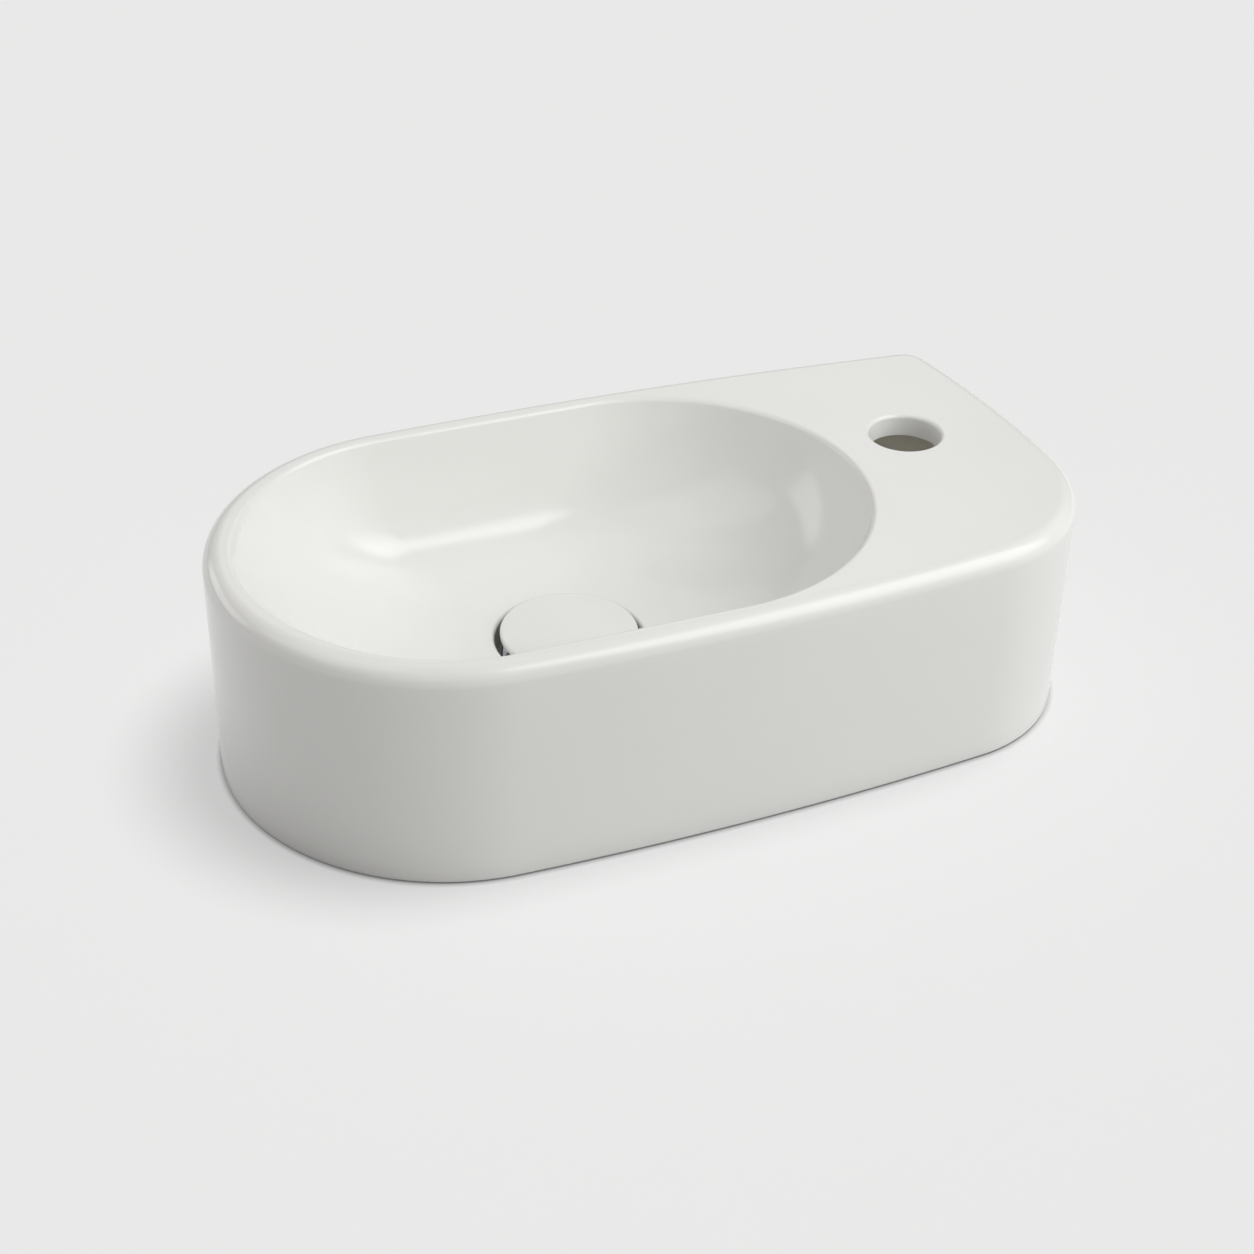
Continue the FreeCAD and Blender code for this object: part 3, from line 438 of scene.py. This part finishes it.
# Bare vitreous china: the body without glaze, wiped clean where it stands in the kiln. Dull, warm white,
# with the fine grain of the clay, drawn at 1.2 mm so that it shows.
def bare_china(name):
    """Unglazed fired clay."""
    grain_size, stain_size = 0.0012, 0.045
    material, tree = new_material(name)
    place = add_node(tree, "ShaderNodeTexCoord", {})
    stain = add_node(tree, "ShaderNodeTexNoise", {"Scale": 1 / stain_size, "Detail": 4.0},
                     {"Vector": (place, "Object")})
    tone = add_node(tree, "ShaderNodeMix", {
        "data_type": "RGBA", "A_Color": linear("#DFDCD2"), "B_Color": linear("#D2CDBF")},
        {"Factor_Float": (stain, "Fac")})
    grain = add_node(tree, "ShaderNodeTexNoise", {"Scale": 1 / grain_size, "Detail": 3.0},
                     {"Vector": (place, "Object")})
    relief = add_node(tree, "ShaderNodeBump", {"Strength": 0.4, "Distance": 0.0001},
                      {"Height": (grain, "Fac")})
    clay = add_node(tree, "ShaderNodeBsdfPrincipled", {"IOR": 1.5, "Roughness": 0.75}, {
        "Base Color": (tone, "Result_Color"), "Normal": (relief, "Normal")})
    add_node(tree, "ShaderNodeOutputMaterial", {}, {"Surface": (clay, "BSDF")})
    return material


white_glaze = glazed_china("glazed_vitreous_china")
basin.data.materials.append(white_glaze)
basin.data.materials.append(bare_china("bare_vitreous_china"))
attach(basin, "basin")
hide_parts("basin_body")


# Waste body: a flanged tube with a four-armed bridge, cast in brass, turned, threaded and chrome-plated.
# Its flange lies in the recess under the cap; the nut below draws it down.
def dress(node, material):
    """Gives a sub-part of the frame its finish, with soft shading inside each turned face."""
    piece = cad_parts[node]
    piece.data.materials.clear()
    piece.data.materials.append(material)
    for face in piece.data.polygons:
        face.material_index = 0
        face.use_smooth = True


# Chrome plate: polished grey metal, slightly bluish, with faint water marks that dull it here and there.
# Its base colour is painted shade: it is drawn darker than new chrome, so that the gap round the cap stays
# dark.
def chrome_plate(name):
    """Chromium over polished brass, with water marks 6 mm across, its tone darkened as painted shade."""
    mark_size = 0.006
    material, tree = new_material(name)
    place = add_node(tree, "ShaderNodeTexCoord", {})
    marks = add_node(tree, "ShaderNodeTexNoise", {"Scale": 1 / mark_size, "Detail": 4.0},
                     {"Vector": (place, "Object")})
    gloss = add_node(tree, "ShaderNodeMapRange", {"To Min": 0.06, "To Max": 0.16}, {"Value": (marks, "Fac")})
    # Painted shade: both tones lie well below new chrome so that the gap round the cap reads dark; the mix
    # between them is the water marks.
    tone = add_node(tree, "ShaderNodeMix", {
        "data_type": "RGBA", "A_Color": linear("#9DA1A4"), "B_Color": linear("#8E9295")},
        {"Factor_Float": (marks, "Fac")})
    plate = add_node(tree, "ShaderNodeBsdfPrincipled", {"Metallic": 1.0}, {
        "Base Color": (tone, "Result_Color"), "Roughness": (gloss, "Result")})
    add_node(tree, "ShaderNodeOutputMaterial", {}, {"Surface": (plate, "BSDF")})
    return material


chrome = chrome_plate("chrome_plated_brass")
dress("waste_body", chrome)


# Seals: the flat gasket under the flange, the tapered seal under the basin, the ring under the cap's carrier
# and the O-ring in the plunger's groove. All are compression-moulded in black EPDM rubber, and are held by
# being squeezed.
def moulded_rubber(name):
    """Black rubber with the dull bloom of moulded EPDM, its specks drawn at 2 mm."""
    speck_size = 0.002
    material, tree = new_material(name)
    place = add_node(tree, "ShaderNodeTexCoord", {})
    bloom = add_node(tree, "ShaderNodeTexNoise", {"Scale": 1 / speck_size, "Detail": 5.0},
                     {"Vector": (place, "Object")})
    tone = add_node(tree, "ShaderNodeMix", {
        "data_type": "RGBA", "A_Color": linear("#1B1B1C"), "B_Color": linear("#2C2C2D")},
        {"Factor_Float": (bloom, "Fac")})
    dull = add_node(tree, "ShaderNodeMapRange", {"To Min": 0.6, "To Max": 0.85}, {"Value": (bloom, "Fac")})
    relief = add_node(tree, "ShaderNodeBump", {"Strength": 0.3, "Distance": 0.0001},
                      {"Height": (bloom, "Fac")})
    rubber = add_node(tree, "ShaderNodeBsdfPrincipled", {"IOR": 1.52}, {
        "Base Color": (tone, "Result_Color"), "Roughness": (dull, "Result"), "Normal": (relief, "Normal")})
    add_node(tree, "ShaderNodeOutputMaterial", {}, {"Surface": (rubber, "BSDF")})
    return material


black_rubber = moulded_rubber("moulded_epdm_rubber")
for seal in ("flange_gasket", "underside_seal", "cap_seal_ring", "plunger_o_ring"):
    dress(seal, black_rubber)


# Slip washer: a flat ring punched from natural polyethylene sheet, milky and waxy.
# It lies between the seal and the nut so that the nut turns without dragging the rubber.
def natural_polyethylene(name):
    """Milky sheet with the soft mottle of a polymer that scatters light, 5 mm across."""
    mottle_size = 0.005
    material, tree = new_material(name)
    place = add_node(tree, "ShaderNodeTexCoord", {})
    mottle = add_node(tree, "ShaderNodeTexNoise", {"Scale": 1 / mottle_size, "Detail": 2.0},
                      {"Vector": (place, "Object")})
    tone = add_node(tree, "ShaderNodeMix", {
        "data_type": "RGBA", "A_Color": linear("#E6E6DF"), "B_Color": linear("#D6D7D0")},
        {"Factor_Float": (mottle, "Fac")})
    sheet = add_node(tree, "ShaderNodeBsdfPrincipled", {"IOR": 1.51, "Roughness": 0.42}, {
        "Base Color": (tone, "Result_Color")})
    add_node(tree, "ShaderNodeOutputMaterial", {}, {"Surface": (sheet, "BSDF")})
    return material


dress("slip_washer", natural_polyethylene("natural_polyethylene"))


# Back nut: turned and threaded from hexagon bar brass. Screwed up the tail, it clamps the waste to the basin.
# The plunger, further on, is turned from the same brass.
def turned_brass(name):
    """Brass with the fine rings of the lathe about the waste's axis, drawn at 0.8 mm so that they show."""
    ring_pitch, stain_size = 0.0008, 0.012
    # At a scale of 1 the rings of a wave texture lie pi / 10 apart.
    ring_scale = math.pi / (10 * ring_pitch)
    material, tree = new_material(name)
    place = add_node(tree, "ShaderNodeTexCoord", {})
    centred = add_node(tree, "ShaderNodeMapping", {"Location": (-WASTE_X * MILLIMETRE, 0.0, 0.0)},
                       {"Vector": (place, "Object")})
    rings = add_node(tree, "ShaderNodeTexWave", {
        "wave_type": "RINGS", "rings_direction": "Z", "Scale": ring_scale, "Distortion": 0.4},
        {"Vector": (centred, "Vector")})
    stain = add_node(tree, "ShaderNodeTexNoise", {"Scale": 1 / stain_size, "Detail": 4.0},
                     {"Vector": (place, "Object")})
    tone = add_node(tree, "ShaderNodeMix", {
        "data_type": "RGBA", "A_Color": linear("#CDAA62"), "B_Color": linear("#B08E4C")},
        {"Factor_Float": (stain, "Fac")})
    gloss = add_node(tree, "ShaderNodeMapRange", {"To Min": 0.22, "To Max": 0.38}, {"Value": (stain, "Fac")})
    relief = add_node(tree, "ShaderNodeBump", {"Strength": 0.15, "Distance": 0.00005},
                      {"Height": (rings, "Fac")})
    brass = add_node(tree, "ShaderNodeBsdfPrincipled", {"Metallic": 1.0}, {
        "Base Color": (tone, "Result_Color"), "Roughness": (gloss, "Result"), "Normal": (relief, "Normal")})
    add_node(tree, "ShaderNodeOutputMaterial", {}, {"Surface": (brass, "BSDF")})
    return material


brass = turned_brass("turned_brass")
dress("back_nut", brass)


# Cartridge sleeve, plug and rotor: injection-moulded acetal, the sleeve screwed into the bridge's hub and
# closed by the plug. The rotor turns one step in it at each push.
def moulded_acetal(name, light, dark):
    """Smooth, slightly waxy engineering plastic with flow marks 4 mm across."""
    flow_size = 0.004
    material, tree = new_material(name)
    place = add_node(tree, "ShaderNodeTexCoord", {})
    flow = add_node(tree, "ShaderNodeTexNoise", {"Scale": 1 / flow_size, "Detail": 3.0, "Distortion": 0.6},
                    {"Vector": (place, "Object")})
    tone = add_node(tree, "ShaderNodeMix", {
        "data_type": "RGBA", "A_Color": linear(light), "B_Color": linear(dark)},
        {"Factor_Float": (flow, "Fac")})
    gloss = add_node(tree, "ShaderNodeMapRange", {"To Min": 0.28, "To Max": 0.4}, {"Value": (flow, "Fac")})
    acetal = add_node(tree, "ShaderNodeBsdfPrincipled", {"IOR": 1.48}, {
        "Base Color": (tone, "Result_Color"), "Roughness": (gloss, "Result")})
    add_node(tree, "ShaderNodeOutputMaterial", {}, {"Surface": (acetal, "BSDF")})
    return material


dark_acetal = moulded_acetal("dark_acetal", "#47474A", "#3E3E40")
dress("cartridge_sleeve", dark_acetal)
dress("cartridge_plug", dark_acetal)
dress("ratchet_rotor", moulded_acetal("natural_acetal", "#ECEBE3", "#DFDED5"))


# Return spring: six turns of 0.8 mm music wire wound cold, standing on the plug and carrying the rotor.
# It shortens from 12.8 mm as the cap goes down.
SPRING_RADIUS = 4.0
SPRING_WIRE = 0.8
SPRING_BOTTOM = 8.55
SPRING_HEIGHT = 12.8
SPRING_TURNS = 6
WIRE_CREASE = math.radians(50)
turn_steps, wire_steps = 48, 12
coil = bmesh.new()
climb = (SPRING_HEIGHT - SPRING_WIRE) / (2 * math.pi * SPRING_TURNS)
coil_rows = []
for step in range(SPRING_TURNS * turn_steps + 1):
    angle = 2 * math.pi * step / turn_steps
    outward = Vector((math.cos(angle), math.sin(angle), 0))
    along = Vector((-SPRING_RADIUS * math.sin(angle), SPRING_RADIUS * math.cos(angle), climb)).normalized()
    across = along.cross(outward)
    middle = outward * SPRING_RADIUS
    middle += Vector((WASTE_X, 0, SPRING_BOTTOM + SPRING_WIRE / 2 + climb * angle))
    row = []
    for point in range(wire_steps):
        turn = 2 * math.pi * point / wire_steps
        row.append(middle + (outward * math.cos(turn) + across * math.sin(turn)) * SPRING_WIRE / 2)
    coil_rows.append(row)
skin(coil, coil_rows)
bmesh.ops.holes_fill(coil, edges=[edge for edge in coil.edges if len(edge.link_faces) == 1])
spring = smooth_object(coil, "spring_coil", WIRE_CREASE)


# Music wire: steel drawn cold through a die, grey and fairly bright.
def music_wire(name):
    """Spring steel with the fine marks of the die, drawn at 0.5 mm so that they show."""
    mark_size = 0.0005
    material, tree = new_material(name)
    place = add_node(tree, "ShaderNodeTexCoord", {})
    marks = add_node(tree, "ShaderNodeTexNoise", {"Scale": 1 / mark_size, "Detail": 3.0},
                     {"Vector": (place, "Object")})
    tone = add_node(tree, "ShaderNodeMix", {
        "data_type": "RGBA", "A_Color": linear("#A8AAAC"), "B_Color": linear("#8C8E91")},
        {"Factor_Float": (marks, "Fac")})
    gloss = add_node(tree, "ShaderNodeMapRange", {"To Min": 0.2, "To Max": 0.36}, {"Value": (marks, "Fac")})
    steel = add_node(tree, "ShaderNodeBsdfPrincipled", {"Metallic": 1.0}, {
        "Base Color": (tone, "Result_Color"), "Roughness": (gloss, "Result")})
    add_node(tree, "ShaderNodeOutputMaterial", {}, {"Surface": (steel, "BSDF")})
    return material


spring.data.materials.append(music_wire("music_wire"))
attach(spring, "basin")
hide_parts("return_spring")
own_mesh(spring)


# Plunger and cap carrier: the rod is turned brass, with a collar and saw teeth that work the latch.
# It screws into the plated disc, which is glued into the socket under the cap.
dress("plunger", brass)
dress("cap_carrier", chrome)


# Waste cap: a shallow china dome, pressed, glazed like the basin and fired, with a socket for its carrier.
# It stands a little above the bowl floor, with a narrow gap for the water all round.
CAP_RADIUS = 32.5
CAP_BOTTOM = 46.1
CAP_EDGE = 3.5
CAP_CROWN = 2.5
CAP_ROUND = 1.2
SOCKET_RADIUS = 28.1
SOCKET_DEPTH = 1.5
DOME_STEPS = 24
SHOULDER_STEPS = 12
LOWER_EDGE_STEPS = 10
CAP_POINTS = 160
dome_radius = (CAP_RADIUS ** 2 + CAP_CROWN ** 2) / (2 * CAP_CROWN)
dome_centre = CAP_EDGE + CAP_CROWN - dome_radius
round_reach = CAP_RADIUS - CAP_ROUND
dome_angle = math.asin(round_reach / (dome_radius - CAP_ROUND))
round_height = dome_centre + (dome_radius - CAP_ROUND) * math.cos(dome_angle)
profile = []
for step in range(1, DOME_STEPS + 1):
    angle = dome_angle * step / DOME_STEPS
    profile.append((dome_radius * math.sin(angle), dome_centre + dome_radius * math.cos(angle)))
for step in range(1, SHOULDER_STEPS + 1):
    angle = math.pi / 2 - dome_angle - (math.pi / 2 - dome_angle) * step / SHOULDER_STEPS
    profile.append((round_reach + CAP_ROUND * math.cos(angle), round_height + CAP_ROUND * math.sin(angle)))
for step in range(LOWER_EDGE_STEPS + 1):
    angle = -math.pi / 2 * step / LOWER_EDGE_STEPS
    profile.append((round_reach + CAP_ROUND * math.cos(angle), CAP_ROUND + CAP_ROUND * math.sin(angle)))
profile.append((SOCKET_RADIUS, 0.0))
profile.append((SOCKET_RADIUS, SOCKET_DEPTH))
cap_form = bmesh.new()
cap_rings = [round_ring(WASTE_X, 0, radius, CAP_BOTTOM + height, CAP_POINTS) for radius, height in profile]
skin(cap_form, cap_rings)
crown = cap_form.verts.new(Vector((WASTE_X, 0, CAP_BOTTOM + CAP_EDGE + CAP_CROWN)) * MILLIMETRE)
open_edges = [edge for edge in cap_form.edges if len(edge.link_faces) == 1]
for edge in open_edges:
    first, second = edge.verts
    if first.co.z > (CAP_BOTTOM + CAP_EDGE) * MILLIMETRE:
        cap_form.faces.new((first, second, crown))
socket_top = CAP_BOTTOM + SOCKET_DEPTH
fill_flat(cap_form, socket_top - NEAR, socket_top + NEAR, -1)
cap = smooth_object(cap_form, "cap_china")
cap.data.materials.append(white_glaze)
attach(cap, "cap")
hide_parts("waste_cap")


# Floor: a wide sheet of pale studio card that the basin stands on. To the eye, and in gloss, it is mostly an
# even pale tone with a soft shadow; within 3 mm of the foot its glow is dimmed by ambient occlusion, a
# painted contact shadow. To the china it is the mid-grey that the darker studio round it would give back. It
# lies a little under the foot, so that the two faces stay apart.
CARD_PALE = "#E9E9E9"
CARD_BOUNCE = "#B4B4B4"
CARD_GLOW = 0.60
PAINTED_SHADE_REACH = 0.003
FLOOR_REACH = 40.0
FLOOR_SQUARES = 8
FLOOR_DROP = 0.0002


def studio_card(name):
    """Matt card with a faint mottle of pulp, 40 mm across."""
    pulp_size = 0.040
    material, tree = new_material(name)
    place = add_node(tree, "ShaderNodeTexCoord", {})
    pulp = add_node(tree, "ShaderNodeTexNoise", {"Scale": 1 / pulp_size, "Detail": 2.0},
                    {"Vector": (place, "Object")})
    tone = add_node(tree, "ShaderNodeMix", {
        "data_type": "RGBA", "A_Color": linear("#EAEAEA"), "B_Color": linear("#E9E9E9")},
        {"Factor_Float": (pulp, "Fac")})
    card = add_node(tree, "ShaderNodeBsdfDiffuse", {}, {"Color": (tone, "Result_Color")})
    # Painted contact shadow: the glow's strength falls with ambient occlusion within 3 mm of the foot.
    painted_contact_shade = add_node(tree, "ShaderNodeAmbientOcclusion", {"samples": 4, "Distance": PAINTED_SHADE_REACH})
    glow = add_node(tree, "ShaderNodeEmission", {"Color": linear(CARD_PALE)}, {"Strength": (painted_contact_shade, "AO")})
    pale = add_node(tree, "ShaderNodeMixShader", {"Fac": CARD_GLOW}, {
        "Shader": (card, "BSDF"), "Shader_001": (glow, "Emission")})
    bounce = add_node(tree, "ShaderNodeBsdfDiffuse", {"Color": linear(CARD_BOUNCE)})
    path = add_node(tree, "ShaderNodeLightPath", {})
    seen = add_node(tree, "ShaderNodeMixShader", {}, {
        "Fac": (path, "Is Diffuse Ray"), "Shader": (pale, "Shader"), "Shader_001": (bounce, "BSDF")})
    add_node(tree, "ShaderNodeOutputMaterial", {}, {"Surface": (seen, "Shader")})
    return material


floor_form = bmesh.new()
bmesh.ops.create_grid(floor_form, x_segments=FLOOR_SQUARES, y_segments=FLOOR_SQUARES, size=FLOOR_REACH)
floor = smooth_object(floor_form, "studio_floor")
floor.location.z = -FLOOR_DROP
floor.data.materials.append(studio_card("studio_card"))


# Light: a dim white room, a large softbox at the right in front, and weak boxes round the back and left.
# The boxes light the basin alone, and a high broad sun lights the card alone, so the card stays even.
ROOM_LEVEL = 0.255
AIM_HEIGHT = 0.06
world = bpy.data.worlds.new("white_room")
world.use_nodes = True
world.node_tree.nodes.clear()
sky = add_node(world.node_tree, "ShaderNodeBackground", {"Color": linear("#FFFCFA"), "Strength": ROOM_LEVEL})
add_node(world.node_tree, "ShaderNodeOutputWorld", {}, {"Surface": (sky, "Background")})
bpy.context.scene.world = world


def lamp_from(name, kind, azimuth, elevation, distance, power):
    """A lamp of that kind turned to the basin, seen from the basin at an azimuth from +X and an elevation."""
    turn, rise = math.radians(azimuth), math.radians(elevation)
    way = Vector((math.cos(turn) * math.cos(rise), math.sin(turn) * math.cos(rise), math.sin(rise)))
    light = bpy.data.lights.new(name, kind)
    light.energy = power
    lamp = bpy.data.objects.new(name, light)
    lamp.location = Vector((0, 0, AIM_HEIGHT)) + way * distance
    lamp.rotation_euler = way.to_track_quat("Z", "Y").to_euler()
    bpy.context.scene.collection.objects.link(lamp)
    return lamp


def fade_to_edges(light, low_fade):
    """The cloth of a softbox: even in its middle and fading to its edges, over low_fade at the lower one."""
    edge_fade = 0.25
    edges = [("X", 0, edge_fade), ("X", 1, 1 - edge_fade), ("Y", 0, low_fade), ("Y", 1, 1 - edge_fade)]
    light.use_nodes = True
    tree = light.node_tree
    tree.nodes.clear()
    cloth = add_node(tree, "ShaderNodeNewGeometry", {})
    across = add_node(tree, "ShaderNodeSeparateXYZ", {}, {"Vector": (cloth, "Parametric")})
    level = None
    for side, edge, inner in edges:
        links = {"Value": (across, side)}
        if level:
            links["To Max"] = (level, "Result")
        level = add_node(tree, "ShaderNodeMapRange", {
            "interpolation_type": "SMOOTHSTEP", "From Min": edge, "From Max": inner}, links)
    glow = add_node(tree, "ShaderNodeEmission", {}, {"Strength": (level, "Result")})
    add_node(tree, "ShaderNodeOutputLight", {}, {"Surface": (glow, "Emission")})


card_alone = bpy.data.collections.new("card_alone")
card_alone.objects.link(floor)
all_but_card = bpy.data.collections.new("all_but_card")
all_but_card.objects.link(floor)
all_but_card.collection_objects[0].light_linking.link_state = "EXCLUDE"

# Azimuth and elevation in degrees, distance in metres, power in watts, width and height in metres, and the
# share of the height over which the light fades at the lower edge. The key box fades most there, so that
# the deck doesn't glare when it is seen from behind.
SOFTBOXES = {
    "key_box": (-41, 35.5, 1.7, 54.0, 2.3, 2.4, 0.6),
    "back_box": (72, 29, 1.3, 1.8, 1.2, 0.8, 0.25),
    "back_left_box": (136, 17, 1.3, 3.4, 1.1, 0.55, 0.25),
    "left_box": (175, 54, 1.3, 4.5, 1.3, 1.3, 0.25),
    "front_left_box": (230, 30, 1.3, 0.6, 0.9, 0.9, 0.25),
    "high_box": (95, 65, 1.3, 0.9, 0.9, 0.9, 0.25),
}
for name, (azimuth, elevation, distance, power, width, height, low_fade) in SOFTBOXES.items():
    box = lamp_from(name, "AREA", azimuth, elevation, distance, power)
    box.data.shape = "RECTANGLE"
    box.data.size = width
    box.data.size_y = height
    box.light_linking.receiver_collection = all_but_card
    box.visible_camera = False
    fade_to_edges(box.data, low_fade)

SUN_SPREAD = math.radians(26)
sun = lamp_from("card_sun", "SUN", azimuth=-4, elevation=74, distance=2.0, power=2.43)
sun.data.angle = SUN_SPREAD
sun.light_linking.receiver_collection = card_alone

# A faint lamp in the hollow under the deck stands for the light that its white walls give back, which is
# seen through the tap hole.
HOLLOW_POWER = 0.022
HOLLOW_LAMP_RADIUS = 0.02
HOLLOW_PLACE = Vector((TAP_X, 50.0, 20.0))
hollow_light = bpy.data.lights.new("hollow_light", "POINT")
hollow_light.energy = HOLLOW_POWER
hollow_light.shadow_soft_size = HOLLOW_LAMP_RADIUS
hollow_lamp = bpy.data.objects.new("hollow_light", hollow_light)
hollow_lamp.location = HOLLOW_PLACE * MILLIMETRE
bpy.context.scene.collection.objects.link(hollow_lamp)


# Camera: a long lens above the front left, turned to the basin and very slightly rolled.
# Its place, angles and focal length are those of the camera that was fitted to the photograph.
IMAGE_SIZE = 1254.0
FOCAL_PIXELS = 2595.28
SENSOR = 36.0
FAR_CLIP = 100.0
CAMERA_AIM = Vector((-7.6, 0, 55))
CAMERA_DISTANCE = 1223.47
azimuth, elevation = math.radians(-22.674), math.radians(32.621)
yaw, pitch, roll = math.radians(-0.077), math.radians(-0.407), math.radians(1.276)
back = Vector((math.sin(azimuth) * math.cos(elevation), -math.cos(azimuth) * math.cos(elevation),
               math.sin(elevation)))
spot = CAMERA_AIM + back * CAMERA_DISTANCE
right = (-back).cross(Vector((0, 0, 1))).normalized()
pointing = Matrix((right, right.cross(-back), back)).transposed()
tilt = Matrix.Rotation(pitch, 3, "X") @ Matrix.Rotation(roll, 3, "Z")
turning = Matrix.Rotation(yaw, 3, "Z") @ pointing @ tilt
lens = bpy.data.cameras.new("camera")
lens.sensor_width = SENSOR
lens.lens = FOCAL_PIXELS / IMAGE_SIZE * SENSOR
lens.clip_end = FAR_CLIP
camera = bpy.data.objects.new("camera", lens)
camera.matrix_world = Matrix.Translation(spot * MILLIMETRE) @ turning.to_4x4()
bpy.context.scene.collection.objects.link(camera)
bpy.context.scene.camera = camera
bpy.context.scene.view_settings.view_transform = "Standard"
